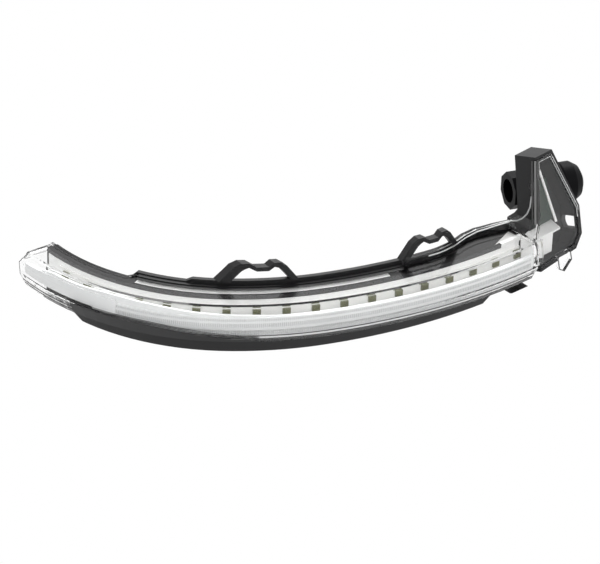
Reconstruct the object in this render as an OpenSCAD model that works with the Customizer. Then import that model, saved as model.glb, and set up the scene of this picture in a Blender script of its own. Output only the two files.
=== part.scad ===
// Side repeater lamp of a door mirror: a curved strip of 18 lamps behind a clear lens,
// in a black moulded housing with two spring loops, a tall inner end and a plug socket.
// X runs along the lamp, Y points to its back and Z up. The origin is in the mouth of the
// screw boss on the housing's back, at the height of the lamps' middle.

/* [Curve] */
// Radius of the row over the outer third, which wraps round the mirror
outer_radius = 100; // [85:1:130]
// Radius of the row in the middle
middle_radius = 140; // [120:1:180]
// Radius of the row towards the inner end
inner_radius = 240; // [200:5:320]
// Heading at which the inner radius takes over, in degrees
bend_heading = 18; // [14:1:22]

/* [Row of lamps] */
// Number of lamps
lamp_count = 18; // [14:1:18]
// Distance from lamp to lamp along the row
lamp_pitch = 13; // [10:0.5:13.5]
// Place of the first lamp along the row
first_lamp = -77.5; // [-80:0.5:-70]
// Width of a lamp package
lamp_w = 3.5; // [3:0.1:5]
// Height of a lamp package
lamp_h = 2.8; // [2:0.1:3.5]
// Depth of a lamp package
lamp_d = 1; // [0.6:0.1:1.2]
// Height of the lamp strip
strip_h = 8.6; // [7:0.2:9]
// Thickness of the lamp strip
strip_t = 0.6; // [0.4:0.1:1]
// How far the strip reaches past the first lamp
strip_end = 5; // [3:0.5:6]

/* [Housing] */
// Distance from the row back to the rim's front face
rim_back = 8; // [7.5:0.1:9]
// Thickness of the rim and back wall
rim_t = 2.2; // [1.6:0.1:3]
// Height of the rim's top above the row
rim_top = 11; // [10.5:0.1:12]
// Height of the shelf's top above the row
shelf_top = 6.8; // [6.4:0.1:7.2]
// Thickness of the shelf
shelf_t = 1.2; // [1:0.1:1.5]
// Distance from the row back to the shelf's front lip
lip_back = 1.5; // [1.4:0.1:1.8]
// Thickness of the lip
lip_t = 1.1; // [0.9:0.1:1.3]
// Depth of the lip below the shelf's top
lip_drop = 2; // [1.8:0.1:2.4]
// Depth of the floor's underside below the row
floor_drop = 16.2; // [15.5:0.1:17.5]
// Thickness of the floor
floor_t = 1.6; // [1.4:0.1:2]
// Distance from the row back to the floor's front edge
floor_front = 2.6; // [2:0.1:3.2]
// Height of the skirt under the floor
skirt_h = 5.6; // [4:0.2:7]
// Thickness of the skirt
skirt_t = 1.8; // [1.4:0.1:2.4]
// How far the skirt's foot stands behind its top
skirt_lean = 1.3; // [0:0.1:2]
// Places along the row of the skirt's two ends
skirt_start = -80; // [-84:1:-70]
skirt_stop = 134; // [120:1:138]
// Places along the row of the two ends of the slot in the shelf
slot_start = -42; // [-50:1:-30]
slot_stop = 76; // [60:1:78]
// Distance from the row back to the lower rim at the outer end
outer_back = 5; // [4.4:0.1:5.6]
// Height of the lower rim at the outer end
outer_top = 7.2; // [7:0.1:8]
// Places along the row of the housing's two ends
housing_start = -93; // [-94:0.5:-88]
housing_stop = 149; // [148:0.5:150]
// Place along the row where the rim steps back and up
step_at = -45; // [-50:1:-43]
// Place along the row of the rim's second step, and its height
step_two_at = -17.5; // [-25:0.5:-12]
step_two = 1.4; // [1:0.1:2]
// Place along the row where the housing starts to widen into a pan
pan_start = 103; // [100:1:108]
// How far the pan widens to the back
pan_bulge = 5.2; // [4:0.1:6]
// Length of the pan along the row
pan_l = 38; // [36:1:40]

/* [Spring loops] */
// Direction in which the housing leaves its mould, in degrees off the front
draw_heading = 34; // [28:1:38]
// Height of a loop above the rim
loop_h = 9.2; // [8:0.1:10]
// Width of a loop at its feet
loop_w = 31; // [28:0.5:33]
// Thickness of a loop's band
loop_t = 2; // [1.6:0.1:2.4]
// Depth of the dip in a loop's crest
loop_dip = 2; // [1:0.1:2.5]
// Places of the loops' outer feet, measured across the draw
loop_one_at = 1.2; // [0:0.2:4]
loop_two_at = 79; // [76:0.2:82]

/* [Lens] */
// Wall of the clear lens
lens_t = 1.6; // [1.4:0.1:1.8]
// How far the lens stands in front of the row at its fullest
lens_front = 10.6; // [10.4:0.1:12]
// Places along the row of the lens's two ends
lens_start = -97; // [-99:0.5:-94]
lens_stop = 147; // [145:0.5:147]
// Height of the lens's raised edge by the rim
hump_h = 4; // [3:0.1:5]
// Place along the row where the raised edge starts
hump_start = 84; // [82:1:90]
// Height of the low lip along the rest of the lens's back edge
edge_lip = 0.5; // [0.3:0.1:1]

/* [Light guide] */
// Height of the guide's top edge above the row
guide_top = 2; // [1.4:0.1:2.4]
// How far the guide's front stands in front of the row
guide_front = 8.2; // [7.8:0.1:8.4]
// Thickness of the guide
guide_t = 2.2; // [1.8:0.1:2.6]
// Places along the row of the guide's two ends
guide_start = -95; // [-95:0.5:-90]
guide_stop = 146; // [143:0.5:146]
// Place along the row where the guide's plain outer end becomes ribbed
guide_plain = -55; // [-57:1:-54]
// How far the plain outer end rises above the rest
plain_rise = 2; // [1:0.1:2.6]

/* [Inner end] */
// Place along the row on which the tall inner end stands
arm_at = 165; // [164:0.5:168]
// Lean of the inner end towards the back, in degrees
arm_lean = 15; // [10:0.5:18]
// Height of the inner end along its lean
arm_h = 44.5; // [40:0.5:48]
// Width of the inner end at its top and at its widest
arm_top_w = 11.5; // [10:0.5:14]
arm_w = 30; // [28:0.5:32]
// Depth of the inner end's black tray
arm_d = 12; // [11:0.5:14]
// How far the foot of the inner end stands in front of the row
arm_front = 8; // [7.6:0.1:8.4]
// Width of the black rim round the clear face, and depth of the face's side flange
face_rim = 1.4; // [1:0.1:2]
flange_d = 4.2; // [3:0.2:6]
// Thickness of the white light rod
rod_d = 1.2; // [1:0.1:1.6]
// Thickness of the driver board
board_t = 1.6; // [1:0.1:2]

/* [Plug socket] */
// Heading of the socket's barrel, in degrees
socket_heading = 20; // [16:1:24]
// Place of the barrel's open end: along the inner end, behind the row and above it
socket_side = 4.5; // [3:0.5:6]
socket_back = 28; // [27:0.5:31]
socket_up = 12; // [10:0.5:13]
// Length of the barrel
socket_l = 35.5; // [34:0.5:38]
// Outer diameter of the barrel
socket_d = 14.5; // [14:0.5:16]
// Width across the corners of the eight-sided collar, and its length
collar_w = 17.5; // [17:0.5:20]
collar_l = 9; // [8:0.5:10]
// Outer diameter of the rounded cap, and its length
cap_d = 19; // [17:0.5:20]
cap_l = 11; // [9:0.5:13]
// Wall of the barrel
socket_t = 1.8; // [1.4:0.1:2.2]
// Depth of the plug's space in the barrel
socket_depth = 14; // [12:0.5:18]
// Number of terminals
pin_count = 2; // [2:1:3]
// Width of a terminal and its length
pin_w = 1.5; // [1:0.1:2]
pin_l = 8; // [6:0.5:10]

/* [Fixing] */
// Bore of the screw boss
screw_bore = 3; // [2.5:0.1:3.6]
// Outer diameter of the screw boss
boss_d = 8; // [7:0.2:9]
// Length of the screw boss
boss_l = 10; // [8:0.5:12]
// Place of the screw boss along the row
boss_at = 40; // [30:1:50]

/* [Hidden] */
$fn = 180;
clear = 0.1;
bend_length = middle_radius * bend_heading * PI / 180;

// The place on the row where its heading is 0, seen from the screw boss's mouth
boss_heading = boss_at / middle_radius * 180 / PI;
boss_n = rim_back + rim_t + boss_l;
row_start = -[
    (middle_radius - boss_n) * sin(boss_heading),
    middle_radius - (middle_radius - boss_n) * cos(boss_heading)
];

function lamp_name(i) = str("lamp_", i < 10 ? "0" : "", i);

// Heading of the row at a distance s along it
function heading(s) =
    s < 0 ? s / outer_radius * 180 / PI :
    s < bend_length ? s / middle_radius * 180 / PI :
    bend_heading + (s - bend_length) / inner_radius * 180 / PI;

// Centre of the inner arc
inner_centre = row_start + [
    (middle_radius - inner_radius) * sin(bend_heading),
    middle_radius + (inner_radius - middle_radius) * cos(bend_heading)
];
function centre(s) =
    s < 0 ? row_start + [0, outer_radius] :
    s < bend_length ? row_start + [0, middle_radius] : inner_centre;
function radius(s) =
    s < 0 ? outer_radius : s < bend_length ? middle_radius : inner_radius;

// Point at distance s along the row and n behind it
function spot(s, n = 0) =
    centre(s) + (radius(s) - n) * [sin(heading(s)), -cos(heading(s))];

// Puts its children at a place along the row, X along it and Y to the back
module at(s, n = 0, z = 0) {
    translate([spot(s, n)[0], spot(s, n)[1], z])
        rotate([0, 0, heading(s)])
            children();
}

// Stations from a to b, without b, no further apart than the gap
station_gap = 6;
function part_way(a, b) =
    let (n = ceil((b - a) / station_gap))
    [for (i = [0:n - 1]) a + (b - a) * i / n];

// Stations through a list of places that all have to be met
function stations(keys) = concat(
    [for (i = [0:len(keys) - 2]) for (s = part_way(keys[i], keys[i + 1])) s],
    [keys[len(keys) - 1]]
);

// Area of a section, positive where its points run anticlockwise
function area(section, i = 0) =
    i == len(section) ? 0 :
    let (a = section[i], b = section[(i + 1) % len(section)])
    (a[0] * b[1] - b[0] * a[1]) / 2 + area(section, i + 1);

// Twice the area of a triangle, positive where its corners run anticlockwise
function turn(a, b, c) = (b[0] - a[0]) * (c[1] - a[1]) - (b[1] - a[1]) * (c[0] - a[0]);

function within(p, a, b, c) = turn(a, b, p) >= 0 && turn(b, c, p) >= 0 && turn(c, a, p) >= 0;

// Whether the corner number i of what is left of a section can be cut off as a triangle
function is_ear(section, left, i) =
    let (
        n = len(left),
        before = left[(i + n - 1) % n],
        here = left[i],
        after = left[(i + 1) % n],
        a = section[before],
        b = section[here],
        c = section[after]
    )
    turn(a, b, c) > 0
    && len([for (k = left)
        if (k != before && k != here && k != after && within(section[k], a, b, c)) k]) == 0;

function first_ear(section, left, i = 0) =
    i >= len(left) - 1 || is_ear(section, left, i) ? i : first_ear(section, left, i + 1);

// Triangles that fill an anticlockwise section, as lists of three corner numbers
function triangles(section, left) =
    len(left) == 3 ? [left] :
    let (n = len(left), i = first_ear(section, left))
    concat(
        [[left[(i + n - 1) % n], left[i], left[(i + 1) % n]]],
        triangles(section, [for (k = [0:n - 1]) if (k != i) left[k]])
    );

// Sweeps one section per station along the row: its x is the distance behind the row
module sweep(places, sections) {
    m = len(sections[0]);
    k = len(places);
    last = (k - 1) * m;
    ordered = area(sections[0]) > 0 ? sections :
        [for (section = sections) [for (j = [m - 1:-1:0]) section[j]]];
    points = [for (i = [0:k - 1]) for (p = ordered[i])
        [spot(places[i], p[0])[0], spot(places[i], p[0])[1], p[1]]];
    corners = [for (j = [0:m - 1]) j];
    start = [for (f = triangles(ordered[0], corners)) f];
    stop = [for (f = triangles(ordered[k - 1], corners)) [last + f[2], last + f[1], last + f[0]]];
    sides = [for (i = [0:k - 2]) for (j = [0:m - 1])
        let (a = i * m + j, b = i * m + (j + 1) % m)
        each [[a, a + m, b + m], [a, b + m, b]]];
    polyhedron(points, concat(start, stop, sides), convexity = 8);
}

// Sweeps one unchanging section from s0 to s1
module along(s0, s1, section) {
    places = stations([s0, s1]);
    sweep(places, [for (s = places) section]);
}

// A box in the section, between two depths and two heights
function block(n0, n1, z0, z1) = [[n0, z0], [n1, z0], [n1, z1], [n0, z1]];

rim_rear = rim_back + rim_t;
outer_rear = outer_back + rim_t;
shelf_low = shelf_top - shelf_t;
lip_low = shelf_top - lip_drop;
floor_top = -floor_drop + floor_t;
skirt_low = -floor_drop - skirt_h;
arm_left = arm_at - arm_w * 0.55;
end_t = 1;
end_top = shelf_top - end_t;
carrier_face = lip_back - 0.3;
carrier_rear = lip_back + lip_t + clear;
wedge_start = 132;
lamp_face = carrier_face - strip_t - lamp_d;
strip_low = 2.6 - strip_h;

// Places where the section of the housing or the lens changes
ramp = 1.5;
shell_keys = [
    housing_start,
    step_at - ramp,
    step_at + ramp,
    step_two_at - ramp,
    step_two_at + ramp,
    hump_start,
    hump_start + 1,
    pan_start,
    pan_start + pan_l * 0.26,
    pan_start + pan_l * 0.5,
    pan_start + pan_l * 0.71,
    pan_start + pan_l,
    lens_stop
];

// Places of the lamps' sides along the strip, and of the carrier's and guide's ends
last_lamp = first_lamp + (lamp_count - 1) * lamp_pitch;
function insert(keys, s) = concat([for (k = keys) if (k < s) k], [s], [for (k = keys) if (k > s) k]);
side_keys = concat(
    [first_lamp - strip_end],
    [for (i = [0:lamp_count - 1]) for (side = [-1, 1])
        first_lamp + i * lamp_pitch + side * lamp_w / 2],
    [guide_stop]
);
strip_keys = insert(insert(side_keys, guide_plain - 0.2), guide_plain);
carrier_keys = concat([guide_start + 4], strip_keys);

// Distance from the row back to the rim's front face, along the housing
back_table = [
    [housing_start - 10, outer_back],
    [step_at - ramp, outer_back],
    [step_at + ramp, rim_back],
    [pan_start, rim_back],
    [pan_start + pan_l * 0.26, rim_back + pan_bulge * 0.3],
    [pan_start + pan_l * 0.5, rim_back + pan_bulge * 0.85],
    [pan_start + pan_l * 0.71, rim_back + pan_bulge],
    [pan_start + pan_l, rim_back + pan_bulge * 0.65],
    [housing_stop, rim_back + pan_bulge * 0.2],
    [housing_stop + 2.5, rim_back - 1.2],
    [housing_stop + 4.2, rim_back - 3.4],
    [housing_stop + 5.2, rim_back - 5.4]
];
function rim_at(s) = lookup(s, back_table);

// Height of the edge that rises from the pan into the inner end, and of the rim behind it
corner_keys = [lens_stop - 0.4, housing_stop, housing_stop + 2.5, housing_stop + 4.2, housing_stop + 5.2];
corner_table = [
    [lens_stop - 0.4, rim_top + 1.2],
    [housing_stop, rim_top + 1.7],
    [housing_stop + 2.5, rim_top + 3.4],
    [housing_stop + 4.2, rim_top + 6.8],
    [housing_stop + 5.2, rim_top + 10.4]
];
function corner_at(s) = lookup(s, corner_table);

// Height of the rim's top along the housing, with its two steps
top_table = [
    [housing_start, outer_top],
    [step_at - ramp, outer_top],
    [step_at + ramp, rim_top - step_two],
    [step_two_at - ramp, rim_top - step_two],
    [step_two_at + ramp, rim_top],
    [housing_stop, rim_top]
];

// Section of the black tray: rim, shelf, lip, back wall and floor, with a moulder's draft
draft = 0.12;
function tray_section(s) =
    let (back = rim_at(s), top = lookup(s, top_table))
    [
        [back + draft, top],
        [back + rim_t, top],
        [back + rim_t, floor_top],
        [back + rim_t - floor_t, -floor_drop],
        [floor_front, -floor_drop],
        [floor_front, floor_top],
        [back + draft, floor_top],
        [back, shelf_low],
        [lip_back + lip_t, shelf_low],
        [lip_back + lip_t - draft, lip_low],
        [lip_back, lip_low],
        [lip_back, shelf_top],
        [back, shelf_top]
    ];

skirt_section = [
    [floor_front + 0.2, -floor_drop + 0.5],
    [floor_front + skirt_lean, skirt_low],
    [floor_front + skirt_lean + skirt_t, skirt_low - 0.5],
    [floor_front + skirt_t + 0.4, -floor_drop + 0.5]
];

// Skirt with its two ends cut at a slant, and the small foot beyond its inner end
module skirt() {
    difference() {
        along(skirt_start, skirt_stop, skirt_section);
        at(skirt_start, 0, -floor_drop - 0.4)
            rotate([0, -58, 0])
                translate([-40, -20, -40])
                    cube([40, 40, 40]);
        at(skirt_stop, 0, -floor_drop - 0.8)
            rotate([0, 50, 0])
                translate([0, -20, -40])
                    cube([40, 40, 40]);
    }
    along(skirt_stop + 5, skirt_stop + 15, foot_section);
}

foot_section = [
    [floor_front + 0.2, -floor_drop + 0.3],
    [floor_front + 2, -floor_drop + 0.3],
    [floor_front + 2, -floor_drop - 1.2],
    [-2, -floor_drop - 1.4],
    [-3.4, -floor_drop - 0.7],
    [floor_front + 0.2, -floor_drop - 0.2]
];

// Outline of a spring loop, seen along the draw of the mould
module loop_outline() {
    w = loop_w;
    h = loop_h;
    low = loop_h - loop_dip;
    shoulder = loop_h * 0.8;
    difference() {
        polygon([
            [0, -1],
            [0, 0],
            [w * 0.17, shoulder],
            [w * 0.26, h],
            [w * 0.36, h],
            [w * 0.45, low],
            [w * 0.6, low],
            [w * 0.66, h],
            [w * 0.75, h],
            [w * 0.83, shoulder],
            [w, 0],
            [w, -1]
        ]);
        polygon([
            [w * 0.13, 0],
            [w * 0.27, shoulder - loop_t * 0.8],
            [w * 0.34, h - loop_t],
            [w * 0.45, low - loop_t],
            [w * 0.6, low - loop_t],
            [w * 0.68, h - loop_t],
            [w * 0.76, shoulder - loop_t * 0.8],
            [w * 0.9, 0]
        ]);
    }
}

// Stretches an outline of x across the draw and y up along the mould's draw
module drawn(length) {
    translate(row_start)
        rotate([0, 0, draw_heading])
            translate([0, length / 2, 0])
                rotate([90, 0, 0])
                    linear_extrude(length)
                        children();
}

module spring_loop(q, s0, s1) {
    places = stations([s0, s1]);
    low = rim_top - 2;
    high = rim_top + loop_h + 1;
    intersection() {
        sweep(places, [for (s = places) block(rim_at(s) + 0.05, rim_at(s) + rim_t - 0.05, low, high)]);
        drawn(200)
            translate([q, rim_top])
                loop_outline();
    }
}

// Frame of the inner end: X along it, Y to the back and Z up its lean
module arm_frame() {
    at(arm_at, -arm_front)
        rotate([-arm_lean, 0, 0])
            children();
}

// Outline of the inner end seen square on, drawn in by l on the left and by r elsewhere
module arm_outline(l = 0, r = 0) {
    left = -arm_w * 0.55 + l;
    polygon([
        [left, -7 + r],
        [arm_w * 0.3 - r * 0.5, -5 + r],
        [arm_w * 0.48 - r, 0.5 + r * 0.4],
        [arm_w * 0.51 - r, 13.5],
        [2.5 - r * 0.8, arm_h - r],
        [2.5 - arm_top_w + l * 0.9, arm_h - r],
        [-arm_w * 0.4 + l, 23],
        [-arm_w * 0.46 + l, 15],
        [left, 10]
    ]);
}

// A slab of the inner end, from one depth to another
module arm_slab(y0, y1, l = 0, r = 0) {
    arm_frame()
        translate([0, y1, 0])
            rotate([90, 0, 0])
                linear_extrude(y1 - y0)
                    arm_outline(l, r);
}

// Strip along the left side of the inner end, in which the clear face's flange stands
module flange_strip(y0, y1, grow, low) {
    difference() {
        arm_slab(y0, y1, -grow, face_rim - grow);
        arm_slab(y0 - 1, y1 + 1, face_rim + grow, -9);
        arm_frame()
            translate([-arm_w, -arm_d, -arm_w])
                cube([arm_w * 2, arm_d * 3, arm_w + low - grow]);
    }
}

// Frame of the plug socket: Z along its barrel from the open end
module socket_frame() {
    at(arm_at, socket_back, socket_up)
        translate([socket_side, 0, 0])
            rotate([0, 0, socket_heading - heading(arm_at)])
                rotate([0, 90, 0])
                    children();
}

// Saddle on the back of the inner end, in which the socket's barrel lies
module saddle() {
    difference() {
        at(arm_at, 0, socket_up - collar_w / 2)
            linear_extrude(collar_w * 0.85)
                polygon([
                    [-8, 2],
                    [10, 2],
                    [socket_side + 19, socket_back - 9.5],
                    [socket_side + 9, socket_back - 4.5]
                ]);
        socket_frame() {
            translate([0, 0, -5])
                cylinder(d = socket_d, h = socket_l);
            translate([0, 0, -5])
                cylinder(d = collar_w + 2 * clear, h = 5 + collar_l);
            translate([0, 0, socket_l - cap_l - clear])
                cylinder(d = cap_d + 2 * clear, h = 40);
        }
        arm_slab(-20, arm_d - 1);
    }
}

module screw_boss() {
    at(boss_at, rim_rear - 0.5)
        rotate([-90, 0, 0])
            difference() {
                cylinder(d = boss_d, h = boss_l + 0.5);
                translate([0, 0, 2])
                    cylinder(d = screw_bore, h = boss_l);
            }
}

// White wedge of the carrier that shows in the pan's shelf
module wedge(grow) {
    polygon([
        spot(wedge_start - grow * 5, carrier_rear - grow),
        spot(guide_stop + grow, carrier_rear - grow),
        spot(guide_stop + grow, rim_back + grow)
    ]);
}

// Opening from the lamp channel into the inner end: the carrier's plate passes through it
throat_rear = lip_back + 0.5;
throat_section = [
    [-lens_front - 0.6, -3.6],
    [-lens_front - 0.6, end_top + 4],
    [throat_rear, end_top + 4],
    [throat_rear, -6]
];

// Section of the wall that closes the lamp channel under and behind that opening
end_section = [
    [rim_rear + 0.5, -floor_drop + 0.1],
    [rim_rear + 0.5, lip_low + 0.1],
    [throat_rear, lip_low + 0.1],
    [throat_rear, -6.3],
    [-5.2, -6.9],
    [-4.4, -9.6],
    [0, -13.8],
    [floor_front, -floor_drop + 0.1]
];

// Section of the wall that closes the channel's outer end
outer_section = [
    [floor_front + 0.1, -floor_drop + 0.1],
    [outer_rear - floor_t - 0.1, -floor_drop + 0.1],
    [outer_rear - 0.1, floor_top],
    [outer_rear - 0.1, shelf_top - 0.1],
    [lip_back + 0.1, shelf_top - 0.1],
    [lip_back + 0.1, floor_top + 1],
    [floor_front + 0.1, floor_top]
];

module end_walls() {
    along(lens_stop + 0.2, arm_left + 1, end_section);
    along(housing_start, housing_start + 1.2, outer_section);
}

// Rim that rises round the corner between the pan and the inner end
module corner_rim() {
    places = concat([housing_stop - 0.5], [for (s = corner_keys) if (s >= housing_stop) s]);
    sweep(places, [for (s = places)
        block(rim_at(s), rim_at(s) + rim_t + (s - housing_stop + 0.2) * 0.3, lip_low - 0.3, corner_at(s))]);
}

// Room for the clear shoulder, from the shelf up
module shoulder_room() {
    places = stations(corner_keys);
    sweep(places, [for (s = places) let (front = shoulder_front(s))
        [
            [front[0] - 3, shelf_top + 0.1],
            [rim_at(s), shelf_top + 0.1],
            [rim_at(s), corner_at(s) + clear],
            [front[0] - 0.2, front[1] + clear],
            [front[0] - 3, front[1] + clear]
        ]]);
}

// The whole channel from end to end, with its slot for the carrier's rib
module channel() {
    places = stations(concat(shell_keys, [housing_stop]));
    difference() {
        sweep(places, [for (s = places) tray_section(s)]);
        along(
            slot_start,
            slot_stop,
            block(lip_back + lip_t + 0.2, rim_back - 0.2, shelf_low - 1, shelf_top + 1)
        );
        translate([0, 0, shelf_low - 1])
            linear_extrude(shelf_t + 2)
                wedge(clear);
    }
}

// Black tray of the inner end: a rim round the clear face, a ledge under it and a deep pocket,
// with a window for the plate, one in its right wall, and room for the lens's neck and tab
module arm_tray() {
    inner = face_rim * 2;
    difference() {
        arm_slab(0, arm_d);
        arm_slab(-1, lens_t, -1, face_rim - clear);
        flange_strip(-1, flange_d + clear, clear, 9);
        arm_slab(0, arm_d - rim_t, inner, inner);
        along(lens_stop, arm_left + inner + 1.2, throat_section);
        translate([0, 0, end_top - clear])
            linear_extrude(end_t + 2 * clear)
                plate_outline(clear);
        arm_frame()
            translate([arm_w * 0.3, 0, 9.2])
                rotate([0, 90, 0])
                    rotate([0, 0, 90])
                        linear_extrude(20)
                            side_window();
        arm_frame()
            translate([0, lens_t + clear, 0])
                rotate([90, 0, 0])
                    linear_extrude(lens_t + 5)
                        translate([-4.6, -12])
                            square([9.2, 9]);
    }
}

// D-shaped window: x is the depth in the wall and y the height, counted downwards
module side_window() {
    intersection() {
        translate([lens_t + 0.4, -6])
            square([8, 6]);
        translate([lens_t + 3.4, -3])
            circle(d = 9);
    }
}

module housing() {
    color("#1c1d1f")
        union() {
            difference() {
                union() {
                    channel();
                    end_walls();
                    corner_rim();
                    arm_tray();
                }
                shoulder_room();
            }
            saddle();
            spring_loop(loop_one_at, -20, 40);
            spring_loop(loop_two_at, 78, 127);
            skirt();
            screw_boss();
        }
}

// Outer line of the lens's front from the lamps' height down, and its inner line back up
front_line = [
    [-lens_front, 2],
    [-lens_front + 0.4, -4],
    [-lens_front + 3.6, -10.6],
    [-lens_front + 9.4, -floor_drop + 0.6],
    [floor_front, -floor_drop]
];
inner_line = [
    [floor_front, floor_top],
    [-lens_front + 10, floor_top + 0.4],
    [-lens_front + 4.8, -9.6],
    [-lens_front + lens_t + 0.3, -3.6],
    [-lens_front + lens_t, 1.6]
];

// Height of the lip along the lens's back edge, which rises into a clear hump
lip_table = [
    [lens_start, edge_lip],
    [hump_start, edge_lip],
    [hump_start + 1, hump_h],
    [lens_stop, hump_h]
];

// Drop of the lens's top towards its outer tip, which ends in a low tongue
tip_table = [
    [lens_start, 4.4],
    [lens_start + 0.8, 4.4],
    [housing_start - 0.1, 0],
    [lens_stop, 0]
];

// Section of the clear lens, with its back edge against the rim
function lens_section(s) =
    let (
        back = rim_at(s) - clear,
        drop = lookup(s, tip_table),
        low = shelf_top - drop,
        high = low + lens_t,
        lip = high + lookup(s, lip_table)
    )
    concat(
        [
            [back, low],
            [back, lip],
            [back - lens_t, lip],
            [back - lens_t, high],
            [-lens_front + 2.4, high],
            [-lens_front + 1.2, high - 0.8]
        ],
        front_line,
        inner_line,
        [[-lens_front + 3, low]]
    );

// Clear face of the inner end, with its side flange, a raised bead and its small tab
module arm_cover() {
    arm_slab(0, lens_t, 0, face_rim);
    flange_strip(0, flange_d, 0, 19);
    difference() {
        arm_slab(-0.5, 0.5, 0, face_rim);
        arm_slab(-2, 1, 1.2, face_rim + 1.2);
    }
    arm_frame()
        translate([-4.5, lens_t, -12])
            rotate([90, 0, 0])
                linear_extrude(lens_t)
                    difference() {
                        polygon([[0, 8.8], [0, 2], [3, 0], [9, 3.5], [9, 8.8]]);
                        polygon([[1.2, 7], [1.2, 2.7], [3.2, 1.4], [7.8, 4.2], [7.8, 7]]);
                    }
}

module lens() {
    places = stations(concat([lens_start, lens_start + 0.8, housing_start - 0.1], shell_keys));
    color("#e8eef2", 0.4)
        union() {
            sweep(places, [for (s = places) lens_section(s)]);
            along(lens_start + 0.2, lens_start + lens_t, end_cap(outer_back - 0.5));
            tip_wall();
            along(lens_stop - 0.5, neck_stop, neck_section);
            shoulder();
            arm_cover();
        }
}

// Wall behind the lens's outer tip, as far as the housing
module tip_wall() {
    places = [lens_start + 0.3, lens_start + 0.8, housing_start - 0.1];
    back = outer_back - clear - 0.1;
    sweep(places, [for (s = places)
        block(back - lens_t, back, -floor_drop + 0.8, shelf_top + 0.3 - lookup(s, tip_table))]);
}

// Section of the wall that closes the lens's outer end
function end_cap(back) = [
    [back, shelf_top - 3.6],
    [-lens_front + 2.2, shelf_top - 3.6],
    [-lens_front + 0.3, 2],
    [-lens_front + 0.7, -4],
    [-lens_front + 3.8, -10.4],
    [-lens_front + 9.6, -floor_drop + 0.9],
    [floor_front - 0.2, -floor_drop + 0.5]
];

// Section of the neck that ties the lens's front to the face of the inner end
neck_stop = arm_left + face_rim + 1;
neck_section = [
    [-6, 8.2],
    [-8.6, 8.2],
    [-9.6, 2],
    [-9.6, -3.4],
    [-7.2, -3.4],
    [-7, 2]
];

// Front edge of the clear shoulder, as a distance behind the row and a height
function shoulder_front(s) = [
    lookup(s, [[lens_stop - 0.4, -7.9], [housing_stop, -6], [housing_stop + 2.5, -4.4], [housing_stop + 4.2, -2.2], [housing_stop + 5.2, -1]]),
    lookup(s, [[lens_stop - 0.4, 8.4], [housing_stop, 9.9], [housing_stop + 2.5, 14.6], [housing_stop + 4.2, 21.4], [housing_stop + 5.2, 24]])
];

// Clear shoulder between the lens's top and the left edge of the face, which fills the corner
module shoulder() {
    places = stations(corner_keys);
    sweep(places, [for (s = places)
        let (
            front = shoulder_front(s),
            back = rim_at(s) - clear,
            high = corner_at(s),
            wall = lookup(s, [[lens_stop, lens_t], [housing_stop + 5.2, lens_t * 2]])
        )
        [
            [front[0], front[1]],
            [back, high],
            [back, high - wall],
            [front[0], front[1] - wall]
        ]]);
}

guide_rear = -guide_front + guide_t;
rise_table = [
    [guide_start, -0.4],
    [first_lamp, plain_rise * 0.8],
    [guide_plain - 0.2, plain_rise],
    [guide_plain, 0],
    [guide_stop, 0]
];
function guide_section(s) =
    let (
        top = guide_top + lookup(s, rise_table),
        plain = s < guide_plain - 0.1,
        seat = plain ? carrier_face - strip_t : carrier_face
    )
    [
        [-guide_front, top],
        [guide_rear, top],
        [guide_rear + 0.8, plain ? -2.4 : -4],
        [guide_rear + 2.6, plain ? -3 : -8.4],
        [seat, plain ? -3.2 : -9.4],
        [seat, plain ? -4.4 : -10.8],
        [-guide_front + 3.6, plain ? -4.3 : -9.8],
        [-guide_front + 1.6, plain ? -4 : -6.5],
        [-guide_front + 0.2, -3]
    ];

module light_guide() {
    places = stations(concat([guide_start], carrier_keys));
    color("#e4e6e6", 0.8)
        sweep(places, [for (s = places) guide_section(s)]);
}

// Section of the white carrier: its foot stands on the housing's floor, and behind the guide's
// plain bar it is short, so that the dark floor shows under the bar
function carrier_section(s) =
    let (plain = s < guide_plain - 0.1, low = plain ? -4.6 : -11)
    [
        [plain ? carrier_rear + 0.2 : floor_front + 0.1, plain ? low - 0.6 : floor_top],
        [plain ? carrier_rear + 0.7 : floor_front + 1.6, plain ? low - 0.4 : floor_top],
        [carrier_rear, low],
        [carrier_rear, 3.4],
        [outer_back - 0.4, 3.4],
        [outer_back - 0.4, lip_low],
        [carrier_face, lip_low],
        [carrier_face, low]
    ];

// White carrier behind the lamps, with the rib that fills the slot in the shelf
module reflector() {
    places = stations(carrier_keys);
    color("#f2f2f0")
        union() {
            sweep(places, [for (s = places) carrier_section(s)]);
            along(
                slot_start + 2 * clear,
                slot_stop - 2 * clear,
                block(carrier_rear + 0.2, rim_back - 0.3, 4, shelf_top - clear)
            );
            translate([0, 0, 4])
                linear_extrude(shelf_top - 4)
                    wedge(-0.1);
        }
}

// Outline of the white plate, grown by a distance at its sides
module plate_outline(grow = 0) {
    polygon([
        spot(lens_stop + 0.5 - grow, 1.2 + grow),
        spot(housing_stop + 5, 2.6 + grow),
        spot(arm_at + 5 + grow, 3.6 + grow),
        spot(arm_at + 2 + grow, -4.2 - grow),
        spot(housing_stop + 4, -4.4 - grow),
        spot(lens_stop + 0.5 - grow, -5 - grow)
    ]);
}

// White plate at the strip's end: it carries the white band on into the inner end, where its
// corner stands in a window of the back wall
module end_plate() {
    color("#f2f2f0")
        union() {
            translate([0, 0, end_top])
                linear_extrude(end_t)
                    plate_outline();
            translate([0, 0, -3.5])
                linear_extrude(end_top + 4)
                    polygon([
                        spot(guide_stop + 0.3, 0.2),
                        spot(housing_stop + 2, -4),
                        spot(housing_stop + 7, -4.2),
                        spot(housing_stop + 13, -4.2),
                        spot(housing_stop + 13, -3),
                        spot(housing_stop + 7, -3),
                        spot(housing_stop + 2.6, -2.8),
                        spot(guide_stop + 1, 1.4)
                    ]);
        }
}

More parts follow.
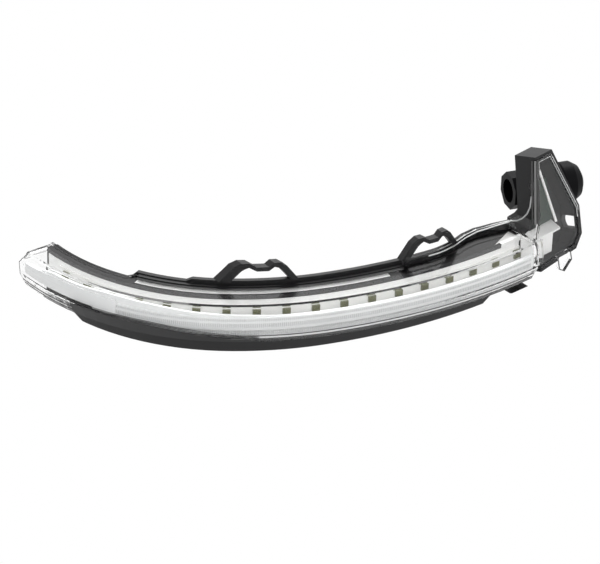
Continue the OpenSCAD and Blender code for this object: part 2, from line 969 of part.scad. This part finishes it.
module lamp_strip() {
    places = stations(strip_keys);
    strip_top = strip_low + strip_h;
    color("#f6f6f2")
        sweep(places, [for (s = places) block(carrier_face - strip_t, carrier_face, strip_low, strip_top)]);
}

// A lamp package, seated on the strip's flat between the package's two sides
module lamp(i) {
    s = first_lamp + (i - 1) * lamp_pitch;
    sag = lamp_w * lamp_w / (8 * radius(s));
    color("#6b6e50")
        at(s, lamp_face + sag)
            translate([-lamp_w / 2, 0, -lamp_h / 2])
                cube([lamp_w, lamp_d, lamp_h]);
}

module plug_socket() {
    color("#141415")
        socket_frame()
            difference() {
                union() {
                    rotate([0, 0, 22.5])
                        cylinder(d = collar_w, h = collar_l, $fn = 8);
                    translate([0, 0, collar_l])
                        cylinder(d = socket_d, h = socket_l - collar_l - cap_l + 1);
                    translate([0, 0, socket_l - cap_l])
                        rotate_extrude()
                            polygon([
                                [0, 0],
                                [cap_d / 2 - 1, 0],
                                [cap_d / 2, 1],
                                [cap_d / 2, cap_l * 0.55],
                                [cap_d / 2 - 2, cap_l * 0.85],
                                [cap_d / 2 - 5, cap_l],
                                [0, cap_l]
                            ]);
                }
                translate([0, 0, -1])
                    cylinder(d = socket_d - 2 * socket_t, h = socket_depth + 1);
            }
}

module terminals() {
    color("#c9a227")
        socket_frame()
            for (i = [0:pin_count - 1])
                translate([-pin_w / 2, (i - (pin_count - 1) / 2) * 4 - pin_w / 2, socket_depth - pin_l])
                    cube([pin_w, pin_w, pin_l]);
}

// White rod that carries light up the inner end
module light_rod() {
    color("#f4f4f4")
        arm_frame()
            translate([0.2, lens_t + rod_d / 2, 11])
                rotate([0, -13, 0])
                    cylinder(d = rod_d, h = 27);
}

module driver_board() {
    color("#2f5d3a")
        arm_frame()
            translate([-arm_w * 0.25, arm_d - rim_t - board_t, 10])
                cube([arm_w * 0.4, board_t, 20]);
}

housing();
lens();
light_guide();
reflector();
end_plate();
lamp_strip();
for (i = [1:lamp_count])
    lamp(i);
plug_socket();
terminals();
light_rod();
driver_board();
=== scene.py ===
import math

import bpy
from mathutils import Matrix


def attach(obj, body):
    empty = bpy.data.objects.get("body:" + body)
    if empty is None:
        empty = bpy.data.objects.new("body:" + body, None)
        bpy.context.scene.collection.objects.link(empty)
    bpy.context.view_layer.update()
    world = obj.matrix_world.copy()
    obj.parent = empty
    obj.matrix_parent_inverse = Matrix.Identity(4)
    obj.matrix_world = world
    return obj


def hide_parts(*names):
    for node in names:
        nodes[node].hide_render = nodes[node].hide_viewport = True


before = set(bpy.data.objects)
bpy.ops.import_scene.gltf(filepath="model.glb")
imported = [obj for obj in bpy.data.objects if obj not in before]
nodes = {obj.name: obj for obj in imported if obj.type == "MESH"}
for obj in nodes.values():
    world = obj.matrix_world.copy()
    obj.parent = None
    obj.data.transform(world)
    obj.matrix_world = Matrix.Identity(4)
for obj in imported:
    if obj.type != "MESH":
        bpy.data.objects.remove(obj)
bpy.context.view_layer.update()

# The camera stands in front of the lamp and looks down on it by about thirty degrees, from far
# enough away that the curved row keeps its shape.
bpy.ops.object.select_all(action="DESELECT")
bpy.ops.object.camera_add(
    location=(-0.0305, -1.26238, 0.72099),
    rotation=(math.radians(60.311), math.radians(-1.4951), math.radians(-0.4647)),
)
camera = bpy.context.object
camera.name = "camera"
camera.data.lens = 199.761
camera.data.sensor_width = 36
camera.data.clip_end = 10
bpy.context.scene.camera = camera
bpy.context.scene.view_settings.view_transform = "Standard"

# The floor is a plain pale sheet under the lamp. It is white to the camera and in the clear and
# glossy pieces, and throws a little soft light back up at the lamp.
bpy.ops.mesh.primitive_plane_add(size=6, location=(0, 0, -0.024))
floor = bpy.context.object
floor.name = "floor"
floor_paint = bpy.data.materials.new("floor_paint")
floor_paint.use_nodes = True
floor_tree = floor_paint.node_tree
floor_shader = floor_tree.nodes["Principled BSDF"]
floor_shader.inputs["Base Color"].default_value = (0.82, 0.82, 0.82, 1)
floor_shader.inputs["Roughness"].default_value = 0.9
floor_white = floor_tree.nodes.new("ShaderNodeEmission")
floor_white.inputs["Strength"].default_value = 1.0
floor_rays = floor_tree.nodes.new("ShaderNodeLightPath")
floor_seen = floor_tree.nodes.new("ShaderNodeMath")
floor_seen.operation = "MAXIMUM"
floor_shown = floor_tree.nodes.new("ShaderNodeMath")
floor_shown.operation = "MAXIMUM"
floor_mix = floor_tree.nodes.new("ShaderNodeMixShader")
for output, socket in (
    (floor_rays.outputs["Is Camera Ray"], floor_seen.inputs[0]),
    (floor_rays.outputs["Is Glossy Ray"], floor_seen.inputs[1]),
    (floor_seen.outputs[0], floor_shown.inputs[0]),
    (floor_rays.outputs["Is Transmission Ray"], floor_shown.inputs[1]),
    (floor_shown.outputs[0], floor_mix.inputs[0]),
    (floor_shader.outputs[0], floor_mix.inputs[1]),
    (floor_white.outputs[0], floor_mix.inputs[2]),
    (floor_mix.outputs[0], floor_tree.nodes["Material Output"].inputs["Surface"]),
):
    floor_tree.links.new(output, socket)
floor.data.materials.append(floor_paint)

# The studio is an even pale room with one soft lamp high over the back and a weaker one in front.
# The room's walls are white to the camera and in the clear and glossy pieces.
studio = bpy.data.worlds.new("studio")
bpy.context.scene.world = studio
studio.use_nodes = True
studio_tree = studio.node_tree
studio_light = studio_tree.nodes["Background"]
studio_light.inputs["Color"].default_value = (1, 1, 1, 1)
studio_light.inputs["Strength"].default_value = 0.28
studio_white = studio_tree.nodes.new("ShaderNodeBackground")
studio_white.inputs["Color"].default_value = (1, 1, 1, 1)
studio_rays = studio_tree.nodes.new("ShaderNodeLightPath")
studio_direct = studio_tree.nodes.new("ShaderNodeMath")
studio_direct.operation = "LESS_THAN"
studio_direct.inputs[1].default_value = 0.5
studio_through = studio_tree.nodes.new("ShaderNodeMath")
studio_through.operation = "MULTIPLY"
studio_seen = studio_tree.nodes.new("ShaderNodeMath")
studio_seen.operation = "MAXIMUM"
studio_shown = studio_tree.nodes.new("ShaderNodeMath")
studio_shown.operation = "MAXIMUM"
studio_mix = studio_tree.nodes.new("ShaderNodeMixShader")
# Light that a matt surface takes in through the clear pieces is that of the pale room.
for output, socket in (
    (studio_rays.outputs["Diffuse Depth"], studio_direct.inputs[0]),
    (studio_direct.outputs[0], studio_through.inputs[0]),
    (studio_rays.outputs["Is Transmission Ray"], studio_through.inputs[1]),
    (studio_rays.outputs["Is Camera Ray"], studio_seen.inputs[0]),
    (studio_through.outputs[0], studio_seen.inputs[1]),
    (studio_seen.outputs[0], studio_shown.inputs[0]),
    (studio_rays.outputs["Is Glossy Ray"], studio_shown.inputs[1]),
    (studio_shown.outputs[0], studio_mix.inputs[0]),
    (studio_light.outputs[0], studio_mix.inputs[1]),
    (studio_white.outputs[0], studio_mix.inputs[2]),
    (studio_mix.outputs[0], studio_tree.nodes["World Output"].inputs["Surface"]),
):
    studio_tree.links.new(output, socket)
for name, place, turn, size, power in (
    ("softbox_top", (0.1, 0.85, 1.0), (-40, 5, 0), 0.62, 8.8),
    ("softbox_front", (0.3, -1.1, 0.9), (50, 0, 12), 0.9, 4.6),
):
    bpy.ops.object.light_add(
        type="AREA", location=place, rotation=[math.radians(angle) for angle in turn]
    )
    softbox = bpy.context.object
    softbox.name = name
    softbox.data.size = size
    softbox.data.energy = power


# The housing is one black moulding with a fine satin skin: the channel with its rim and skirt,
# the two spring loops, the tall inner end and the saddle of the socket.
def moulded_plastic(name, colour, roughness, grain, bump, sheen=0.5):
    """A moulded plastic with a fine skin and a faint change of colour and gloss over it."""
    material = bpy.data.materials.new(name)
    material.use_nodes = True
    tree = material.node_tree
    shader = tree.nodes["Principled BSDF"]
    shader.inputs["Specular IOR Level"].default_value = sheen
    place = tree.nodes.new("ShaderNodeTexCoord")
    skin = tree.nodes.new("ShaderNodeTexNoise")
    skin.inputs["Scale"].default_value = grain
    skin.inputs["Detail"].default_value = 3
    cloud = tree.nodes.new("ShaderNodeTexNoise")
    cloud.inputs["Scale"].default_value = 60
    shade = tree.nodes.new("ShaderNodeValToRGB")
    shade.color_ramp.elements[0].color = [part * 0.9 for part in colour] + [1]
    shade.color_ramp.elements[1].color = list(colour) + [1]
    gloss = tree.nodes.new("ShaderNodeMapRange")
    gloss.inputs["To Min"].default_value = roughness * 0.85
    gloss.inputs["To Max"].default_value = roughness * 1.15
    relief = tree.nodes.new("ShaderNodeBump")
    relief.inputs["Strength"].default_value = bump
    relief.inputs["Distance"].default_value = 0.0002
    for output, socket in (
        (place.outputs["Object"], skin.inputs["Vector"]),
        (place.outputs["Object"], cloud.inputs["Vector"]),
        (cloud.outputs["Fac"], shade.inputs["Fac"]),
        (cloud.outputs["Fac"], gloss.inputs["Value"]),
        (skin.outputs["Fac"], relief.inputs["Height"]),
        (shade.outputs["Color"], shader.inputs["Base Color"]),
        (gloss.outputs["Result"], shader.inputs["Roughness"]),
        (relief.outputs["Normal"], shader.inputs["Normal"]),
    ):
        tree.links.new(output, socket)
    return material


def dress(names, material):
    """Give CAD nodes their finish."""
    for name in names:
        nodes[name].data.materials.clear()
        nodes[name].data.materials.append(material)


black_plastic = moulded_plastic(
    "black_plastic", (0.012, 0.012, 0.013), roughness=0.5, grain=2600, bump=0.12, sheen=0.38
)
dress(["housing"], black_plastic)

# The lens is one clear acrylic moulding, polished inside and out. It covers the row of lamps and
# the face of the inner end, and its lower front is drawn up so that the skirt stands free.
clear_plastic = bpy.data.materials.new("clear_plastic")
clear_plastic.use_nodes = True
clear_tree = clear_plastic.node_tree
clear_shader = clear_tree.nodes["Principled BSDF"]
clear_shader.inputs["Base Color"].default_value = (0.99, 0.99, 0.99, 1)
clear_shader.inputs["Roughness"].default_value = 0.02
clear_shader.inputs["IOR"].default_value = 1.2
clear_shader.inputs["Transmission Weight"].default_value = 1
clear_shader.inputs["Coat Weight"].default_value = 0.3
clear_shader.inputs["Coat Roughness"].default_value = 0.03
clear_shader.inputs["Coat IOR"].default_value = 1.49
# The lens throws no shadow on the row behind it.
clear_rays = clear_tree.nodes.new("ShaderNodeLightPath")
clear_unshaded = clear_tree.nodes.new("ShaderNodeMath")
clear_unshaded.operation = "SUBTRACT"
clear_unshaded.inputs[0].default_value = 1
clear_tree.links.new(clear_rays.outputs["Is Shadow Ray"], clear_unshaded.inputs[1])
clear_tree.links.new(clear_unshaded.outputs[0], clear_shader.inputs["Alpha"])
dress(["lens"], clear_plastic)

# The row of lamps bends in three arcs. Each is given by the X and Y of its centre, from the place
# where the first two meet, and its radius, in mm. The last starts at a heading of 18 degrees.
row_origin = (-33.7647, -25.0566)
end_heading = math.radians(18)
tip_arc = (0, 100, 100)
long_arc = (0, 140, 140)
end_arc = (-100 * math.sin(end_heading), 140 + 100 * math.cos(end_heading), 240)


def row_depth(x, y):
    """How far a point lies behind the curved row of lamps, in mm."""
    x, y = x - row_origin[0], y - row_origin[1]
    heading = math.atan2(x, long_arc[1] - y)
    if heading < 0:
        across, back, radius = tip_arc
    elif heading < end_heading:
        across, back, radius = long_arc
    else:
        across, back, radius = end_arc
    return radius - math.hypot(x - across, y - back)


def take(piece):
    """Select one piece alone, for the next step of its work."""
    bpy.ops.object.select_all(action="DESELECT")
    piece.select_set(True)
    bpy.context.view_layer.objects.active = piece


lens_shell = nodes["lens"].copy()
lens_shell.data = nodes["lens"].data.copy()
lens_shell.name = "lens_shell"
bpy.context.collection.objects.link(lens_shell)
take(lens_shell)
bpy.ops.object.mode_set(mode="EDIT")
bpy.ops.mesh.select_all(action="SELECT")
bpy.ops.mesh.remove_doubles(threshold=0.000005)
bpy.ops.object.mode_set(mode="OBJECT")
# The lower front edge's outer points and its inner ones: their depths, heights and lift, in mm.
for point in lens_shell.data.vertices:
    depth = row_depth(point.co.x * 1000, point.co.y * 1000)
    height = point.co.z * 1000
    for front, rear, low, high, lift in (
        (-1.6, -0.9, -15.8, -15.1, 2.1),
        (-0.9, -0.3, -14.5, -13.9, 2.2),
    ):
        if front < depth < rear and low < height < high:
            point.co.z += lift / 1000
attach(lens_shell, "root")
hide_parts("lens")

# Thin dark grey beads run along the lens, over the shelf and above the skirt, and round its outer
# tip. Their colour is painted shade: it stands in for the dark lines at the clear lens's edges.
shade_line_grey = moulded_plastic(
    "shade_line_grey", (0.09, 0.09, 0.09), roughness=0.12, grain=900, bump=0.1
)
lens_shade_radius = 0.26
tip_end = -96.8
tip_radius = 0.22
tip_outline = [
    (4.9, 3.1), (-8.3, 3.1), (-10.2, 1.9), (-9.8, -4), (-6.8, -10.3), (-1.1, -13.2), (2.3, -15.6),
]


def row_heading(s):
    """The heading of the row at a place along it, and the arc on which that place lies."""
    if s < 0:
        return s / tip_arc[2], tip_arc
    if s < long_arc[2] * end_heading:
        return s / long_arc[2], long_arc
    return end_heading + (s - long_arc[2] * end_heading) / end_arc[2], end_arc


def row_place(s, n, z):
    """The place s along the curved row, n behind it and z above the lamps' middle, from mm."""
    heading, (across, back, radius) = row_heading(s)
    x = across + (radius - n) * math.sin(heading) + row_origin[0]
    y = back - (radius - n) * math.cos(heading) + row_origin[1]
    return (x / 1000, y / 1000, z / 1000)


def row_line(start, stop, n, z):
    """Points along the row from one place to another, from mm."""
    step = 2
    count = math.ceil((stop - start) / step)
    return [row_place(start + (stop - start) * i / count, n, z) for i in range(count + 1)]


def bead(name, points, radius, material):
    """A thin round bead along a line of points, with its radius from mm; each is a line of painted
    highlight or painted shade.
    """
    line = bpy.data.curves.new(name, "CURVE")
    line.dimensions = "3D"
    line.bevel_depth = radius / 1000
    line.bevel_resolution = 1
    line.use_fill_caps = True
    spline = line.splines.new("POLY")
    spline.points.add(len(points) - 1)
    for i, point in enumerate(points):
        spline.points[i].co = tuple(point) + (1,)
    piece = bpy.data.objects.new(name, line)
    bpy.context.collection.objects.link(piece)
    take(piece)
    bpy.ops.object.convert(target="MESH")
    piece = bpy.context.object
    piece.data.materials.append(material)
    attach(piece, "root")


for name, start, stop, n, z in (
    ("lens_shade_line_1", -12, 146, -8.94, -6.6),
    ("lens_shade_line_2", 2, 146, -7.97, -8.6),
    ("lens_shade_line_3", -42, 83, 4.35, 8.5),
    ("lens_shade_line_4", -96, -66, -8.94, -6.6),
    ("lens_shade_line_5", -96, -66, -7.97, -8.6),
):
    bead(name, row_line(start, stop, n, z), lens_shade_radius, shade_line_grey)
tip_points = [row_place(tip_end, n, z) for n, z in tip_outline]
bead("lens_tip_shade_line", tip_points, tip_radius, shade_line_grey)

# A thin black seal runs along the lens's back edge. It lies on the top plate, steps up over the
# plate's raised lip and ends at the housing's rim.
seal_start = -42
seal_step = 2
seal_count = 64
seal_section = [
    (4.9, 8.42), (6.3, 8.42), (6.3, 8.92), (7.8, 8.92),
    (7.8, 9.05), (6.15, 9.05), (6.15, 8.56), (4.9, 8.56),
]


def swept(name, sections, material):
    """A closed form through a line of sections, each a ring of points."""
    corners = len(sections[0])
    points = [point for section in sections for point in section]
    faces = [tuple(range(corners)), tuple(range(len(points) - corners, len(points)))]
    for i in range(0, len(points) - corners, corners):
        for j in range(corners):
            after = (j + 1) % corners
            faces.append((i + j, i + after, i + corners + after, i + corners + j))
    mesh = bpy.data.meshes.new(name)
    mesh.from_pydata(points, [], faces)
    piece = bpy.data.objects.new(name, mesh)
    bpy.context.collection.objects.link(piece)
    take(piece)
    bpy.ops.object.mode_set(mode="EDIT")
    bpy.ops.mesh.select_all(action="SELECT")
    bpy.ops.mesh.normals_make_consistent(inside=False)
    bpy.ops.object.mode_set(mode="OBJECT")
    piece.data.materials.append(material)
    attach(piece, "root")


def row_strip(name, places, sections, material):
    """A strip along the row, with a closed section of (n, z) from mm at each place."""
    rings = [[row_place(s, n, z) for n, z in ring] for s, ring in zip(places, sections)]
    swept(name, rings, material)


seal_places = [seal_start + seal_step * i for i in range(seal_count)]
row_strip(
    "lens_seal", seal_places, [seal_section] * seal_count, black_plastic
)

# The spring loops are wider than the rim: each has a lip on its front that follows its outline.
# The outline is measured across the draw of the mould, along a line turned by 34 degrees.
loop_draw = math.radians(34)
loop_rear = -0.2
loop_front = 1.3
rim_top = 11
rim_front = 8
pan_start = 103
pan_slope = 0.158
loop_outer = [
    (0, 0), (5.3, 7.4), (8.1, 9.2), (11.2, 9.2), (13.9, 7.2),
    (18.6, 7.2), (20.5, 9.2), (23.3, 9.2), (25.7, 7.4), (31, 0),
]
loop_inner = [
    (4, 0), (8.1, 5.4), (9.3, 6.3), (10.9, 7.1), (13.9, 5.2),
    (18.6, 5.2), (20.8, 7.1), (22.4, 6.6), (23.8, 5.5), (27.9, 0),
]


def draw_place(reach, lift, proud):
    """A place before the rim's front, at a distance across the mould's draw, above the rim."""
    # The span is halved until the place is found.
    low, high = -20, 140
    for _ in range(30):
        s = (low + high) / 2
        depth = rim_front + max(0, s - pan_start) * pan_slope - proud
        x, y, _ = row_place(s, depth, 0)
        across = (x * 1000 - row_origin[0]) * math.cos(loop_draw)
        back = (y * 1000 - row_origin[1]) * math.sin(loop_draw)
        if across + back < reach:
            low = s
        else:
            high = s
    return row_place(s, depth, rim_top + lift)


for name, start in (("loop_lip_1", 1.2), ("loop_lip_2", 79)):
    rings = []
    for (outer_x, outer_z), (inner_x, inner_z) in zip(loop_outer, loop_inner):
        rings.append([
            draw_place(start + outer_x, outer_z, loop_rear),
            draw_place(start + outer_x, outer_z, loop_front),
            draw_place(start + inner_x, inner_z, loop_front),
            draw_place(start + inner_x, inner_z, loop_rear),
        ])
    swept(name, rings, black_plastic)

# Towards the outer tip the skirt carries a thin apron that laps over the lens's lower front. Its
# upper edge rises along the lens, with three thin black lines above it: painted shade for the dark
# lines that the clear lens shows above the skirt.
apron_line = [
    (-66, -10.25, -4), (-60, -10.25, -4), (-54, -10.25, -4), (-48, -10.25, -4), (-42, -10.25, -4),
    (-36, -10.25, -4), (-30, -10.15, -4.2), (-26, -10, -4.55), (-22, -9.8, -5),
    (-18, -9.55, -5.55), (-14, -9.33, -6), (-10, -9.08, -6.53), (-6, -8.8, -7.2),
    (-2, -8.52, -7.75), (2, -8.32, -8.2), (6, -8.01, -8.85), (10, -7.75, -9.4), (14, -7.45, -10),
]
apron_front = [(-7.25, -10.5), (-1.4, -13.75)]
apron_back = [(-1.3, -13.5), (-7, -10.3)]
apron_edge = (0.25, 0.05)
apron_shade_radius = 0.13
apron_shade_slant = 0.4
apron_sections = [
    [(n, z)] + apron_front + apron_back + [(n + apron_edge[0], z + apron_edge[1])]
    for _, n, z in apron_line
]
apron_places = [s for s, _, _ in apron_line]
row_strip("skirt_apron", apron_places, apron_sections, black_plastic)
for name, rise in (("apron_shade_line_1", 0.75), ("apron_shade_line_2", 1.6), ("apron_shade_line_3", 2.4)):
    apron_shade_points = [row_place(s, n - apron_shade_slant * rise, z + rise) for s, n, z in apron_line]
    bead(name, apron_shade_points, apron_shade_radius, black_plastic)

# A raised bead runs round the clear face of the inner end in a pale grey, which is painted
# highlight along the face's edges. A dark grey bead round the small loop under the face is painted
# shade at its edge.
painted_highlight = moulded_plastic(
    "painted_highlight", (0.75, 0.76, 0.76), roughness=0.12, grain=900, bump=0.1
)
arm_start = 165
arm_front = -8
arm_lean = math.radians(15)
bead_proud = -0.3


def arm_place(u, w, v):
    """A place in the leaning frame of the inner end, from mm."""
    heading, _ = row_heading(arm_start)
    x, y, _ = row_place(arm_start, arm_front, 0)
    back = (w * math.cos(arm_lean) + v * math.sin(arm_lean)) / 1000
    up = (v * math.cos(arm_lean) - w * math.sin(arm_lean)) / 1000
    x += u / 1000 * math.cos(heading) - back * math.sin(heading)
    y += u / 1000 * math.sin(heading) + back * math.cos(heading)
    return (x, y, up)


face_line = [(12.7, 9), (12.7, 13.5), (0.4, 41.9), (-7.4, 41.9), (-8.4, 36)]
face_line_outer = [(13.6, 12), (13.7, 13.7), (1.4, 42.2)]
tab_line = [(-4.5, -4), (-4.5, -10), (-1.5, -12), (4.5, -8.5), (4.5, -4)]
for name, outline, radius, finish in (
    ("face_highlight", face_line, 0.2, painted_highlight),
    ("face_highlight_outer", face_line_outer, 0.16, painted_highlight),
    ("tab_shade_line", tab_line, 0.26, shade_line_grey),
):
    points = [arm_place(u, bead_proud, v) for u, v in outline]
    bead(name, points, radius, finish)

# A pale grey bead follows the clear shoulder's rim along the pan's back wall and turns up in the
# corner: it is painted highlight. Three grey beads climb the side of the inner end: they are
# painted reflection and painted shade in the clear shoulder.
shoulder_reflection_grey = moulded_plastic(
    "shoulder_reflection_grey", (0.3, 0.3, 0.3), roughness=0.12, grain=900, bump=0.1
)
shoulder_radius = 0.36
shoulder_line = [
    (98, 7.7, 9.8), (103, 7.7, 9.8), (108, 8.4, 9.8), (112.9, 9.3, 9.9), (117.5, 10.8, 10),
    (122, 12.1, 10.1), (126, 12.6, 10.2), (130, 12.9, 10.4), (135.5, 12, 10.6), (141, 11.1, 10.9),
    (148, 8.9, 11.6),
]
shoulder_turn = [
    (-15.7, 10.5, 16), (-15.3, 7.5, 17.3), (-14.8, 4.8, 19.5), (-14, 3.1, 22.5),
    (-12.9, 2.2, 27.5),
]
shoulder_points = [row_place(s, n, z) for s, n, z in shoulder_line]
shoulder_points += [arm_place(u, w, v) for u, w, v in shoulder_turn]
bead("shoulder_highlight", shoulder_points, shoulder_radius, painted_highlight)


def left_wall(v):
    """How far the inner end's left wall stands out at a height, in mm: it leans in upwards."""
    foot, head = (-16.5, 10), (-9, 44.5)
    return foot[0] + (v - foot[1]) * (head[0] - foot[0]) / (head[1] - foot[1])


streak_heights = (15, 24, 34, 43)
# The second line's mid grey is painted reflection; the first and third are dark grey painted
# shade.
for name, inset, depth, radius, finish in (
    ("shoulder_streak_1", 1.2, -0.2, 0.4, shade_line_grey),
    ("shoulder_streak_2", -0.05, 0.1, 0.55, shoulder_reflection_grey),
    ("shoulder_streak_3", -0.1, 1.7, 0.45, shade_line_grey),
):
    points = [arm_place(left_wall(v) + inset, depth, v) for v in streak_heights]
    bead(name, points, radius, finish)

# The light guide is a translucent bar with a ribbed and dotted front, clipped before the lamps.
# Its outer end is plain and thicker.
frosted_plastic = moulded_plastic(
    "frosted_plastic", (0.79, 0.8, 0.8), roughness=0.25, grain=900, bump=0.3
)
dress(["light_guide"], frosted_plastic)

# Towards its outer end the guide's upper edge rises in a crest that hides the outermost lamps, and
# its plain bar laps over the first of the ribbed front.
crest_front, crest_rear, crest_foot = -7.5, -6.3, 1.8
crest_line = [
    (-84, 3.3), (-80, 4.2), (-77.5, 4.6), (-71, 4.7), (-64.5, 4.5), (-57, 5), (-51.5, 5.4),
    (-45, 5.4), (-38, 5.2), (-32, 4.9), (-25.5, 4.5), (-19, 4), (-12.5, 3.5), (-6, 3.2),
    (0, 3), (6, 2.8), (13, 2.5), (20, 2.2), (27, 2),
]
crest_sections = [
    [(crest_front, crest_foot), (crest_front, top), (crest_rear, top), (crest_rear, crest_foot)]
    for _, top in crest_line
]
crest_places = [s for s, _ in crest_line]
row_strip("guide_crest", crest_places, crest_sections, frosted_plastic)
bar_front, bar_rear = -8.3, -6.2
bar_line = [
    (-56, 3.96, -4), (-53, 3.9, -4), (-50, 3.75, -3.8), (-47.5, 3.55, -3.6), (-45, 3.3, -3.4),
]
bar_sections = [
    [(bar_front, low), (bar_front, top), (bar_rear, top), (bar_rear, low)]
    for _, top, low in bar_line
]
bar_places = [s for s, _, _ in bar_line]
row_strip("guide_bar_end", bar_places, bar_sections, frosted_plastic)

# Fine upright ribs are moulded on the guide's front in two rows, one under its smooth upper edge
# and one under its middle ridge, with a row of dots over them. They spread the light of the lamps.
# The ribs and dots are a darker grey than the guide: painted shade that gives them their light and
# dark stipple.
rib_shade_grey = moulded_plastic(
    "rib_shade_grey", (0.58, 0.59, 0.59), roughness=0.2, grain=1200, bump=0.2
)
rib_start = -44.6
rib_front = -8.2
rib_radius = 0.26
rib_pitch = 0.9
rib_count = 221
path_length = 190
path_line = bpy.data.curves.new("rib_path", "CURVE")
path_line.dimensions = "3D"
path_line.twist_mode = "Z_UP"
path_spline = path_line.splines.new("POLY")
path_spline.points.add(path_length - 1)
for i, point in enumerate(path_spline.points):
    point.co = row_place(rib_start + i, rib_front, 0) + (1,)
rib_path = bpy.data.objects.new("rib_path", path_line)
bpy.context.collection.objects.link(rib_path)
for name, low, high, lean, set_back in (
    ("guide_dots", 0.45, 1.35, 2.3, 0.02),
    ("guide_ribs_upper", -2.6, -0.8, 2.3, 0.07),
    ("guide_ribs_lower", -6.5, -4.2, 22, 1.1),
):
    bpy.ops.object.select_all(action="DESELECT")
    bpy.ops.mesh.primitive_cylinder_add(
        vertices=12,
        radius=rib_radius / 1000,
        depth=(high - low) / 1000,
        location=(0, set_back / 1000, (low + high) / 2000),
        rotation=(math.radians(-lean), 0, 0),
    )
    ribs = bpy.context.object
    ribs.name = name
    bpy.ops.object.transform_apply(location=True, rotation=True, scale=True)
    row = ribs.modifiers.new("row", "ARRAY")
    row.use_relative_offset = False
    row.use_constant_offset = True
    row.constant_offset_displace = (rib_pitch / 1000, 0, 0)
    row.count = rib_count
    bend = ribs.modifiers.new("bend", "CURVE")
    bend.object = rib_path
    bend.deform_axis = "POS_X"
    bpy.ops.object.modifier_apply(modifier="row")
    bpy.ops.object.modifier_apply(modifier="bend")
    ribs.data.materials.append(rib_shade_grey)
    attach(ribs, "root")
bpy.data.objects.remove(rib_path)

# The carrier is a bright white moulding behind the lamps, and its rib fills the slot in the shelf.
# The plate and the thin rod of the inner end are moulded from the same white plastic.
white_plastic = moulded_plastic(
    "white_plastic", (0.9, 0.9, 0.89), roughness=0.5, grain=1500, bump=0.1
)
dress(["reflector", "end_plate", "light_rod"], white_plastic)

# A thin tongue of the white plate lies on the shelf's lip beside the inner end and turns down over
# the lip's front.
tongue_start = 135
tongue_step = 1.5
tongue_count = 9
tongue_section = [(1.2, 4.9), (1.2, 7), (3.1, 7), (3.1, 6.8), (1.45, 6.8), (1.45, 4.9)]
tongue_places = [tongue_start + tongue_step * i for i in range(tongue_count)]
row_strip(
    "plate_tongue", tongue_places, [tongue_section] * tongue_count, white_plastic
)

# The strip is a thin board with white solder resist. It lies on the carrier's face, with a flat
# for each lamp.
strip_white = moulded_plastic(
    "strip_white", (0.88, 0.88, 0.86), roughness=0.45, grain=3000, bump=0.05
)
dress(["lamp_strip"], strip_white)

# Each lamp is a small moulded package, soldered to the strip. Its cup is filled with phosphor, a
# low rounded window that stands a hair proud of the package.
lamp_body = moulded_plastic("lamp_body", (0.16, 0.165, 0.1), roughness=0.4, grain=2500, bump=0.1)
phosphor = moulded_plastic("phosphor", (0.125, 0.13, 0.062), roughness=0.3, grain=6000, bump=0.25)
lamp_count = 18
lamp_first = -77.5
lamp_pitch = 13
lamp_front = -0.42
window_size = (0.003, 0.00012, 0.0023)
window_round = 0.00004
bpy.ops.object.select_all(action="DESELECT")
bpy.ops.mesh.primitive_cube_add(size=1, location=(0, 0, 0))
window = bpy.context.object
window.scale = window_size
bpy.ops.object.transform_apply(location=False, rotation=False, scale=True)
corners = window.modifiers.new("corners", "BEVEL")
corners.limit_method = "ANGLE"
corners.width = window_round
corners.segments = 2
bpy.ops.object.modifier_apply(modifier="corners")
for i in range(lamp_count):
    dress(["lamp_%02d" % (i + 1)], lamp_body)
    along = lamp_first + lamp_pitch * i
    middle = row_place(along, lamp_front, 0)
    ahead = row_place(along + 0.1, lamp_front, 0)
    lamp_window = window.copy()
    lamp_window.data = window.data.copy()
    lamp_window.name = "lamp_window_%02d" % (i + 1)
    bpy.context.collection.objects.link(lamp_window)
    lamp_window.location = middle
    lamp_window.rotation_euler[2] = math.atan2(ahead[1] - middle[1], ahead[0] - middle[0])
    take(lamp_window)
    bpy.ops.object.transform_apply(location=True, rotation=True, scale=True)
    lamp_window.data.materials.append(phosphor)
    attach(lamp_window, "root")
bpy.data.objects.remove(window)

# The socket is a black barrel with an eight-sided collar, pressed into the housing's saddle. Its
# skin is duller than the housing's.
socket_plastic = moulded_plastic(
    "socket_plastic", (0.006, 0.006, 0.007), roughness=0.45, grain=2200, bump=0.1, sheen=0.08
)
dress(["plug_socket"], socket_plastic)

# The terminals are two plated pins that stand in the bottom of the socket's cavity.
terminal_metal = bpy.data.materials.new("terminal_metal")
terminal_metal.use_nodes = True
terminal_shader = terminal_metal.node_tree.nodes["Principled BSDF"]
terminal_shader.inputs["Base Color"].default_value = (0.72, 0.58, 0.28, 1)
terminal_shader.inputs["Metallic"].default_value = 1
terminal_shader.inputs["Roughness"].default_value = 0.28
dress(["terminals"], terminal_metal)

# The driver board is a small bare board with green solder resist, fixed to the back wall of the
# inner end.
board_green = moulded_plastic(
    "board_green", (0.022, 0.04, 0.028), roughness=0.45, grain=1800, bump=0.1
)
dress(["driver_board"], board_green)
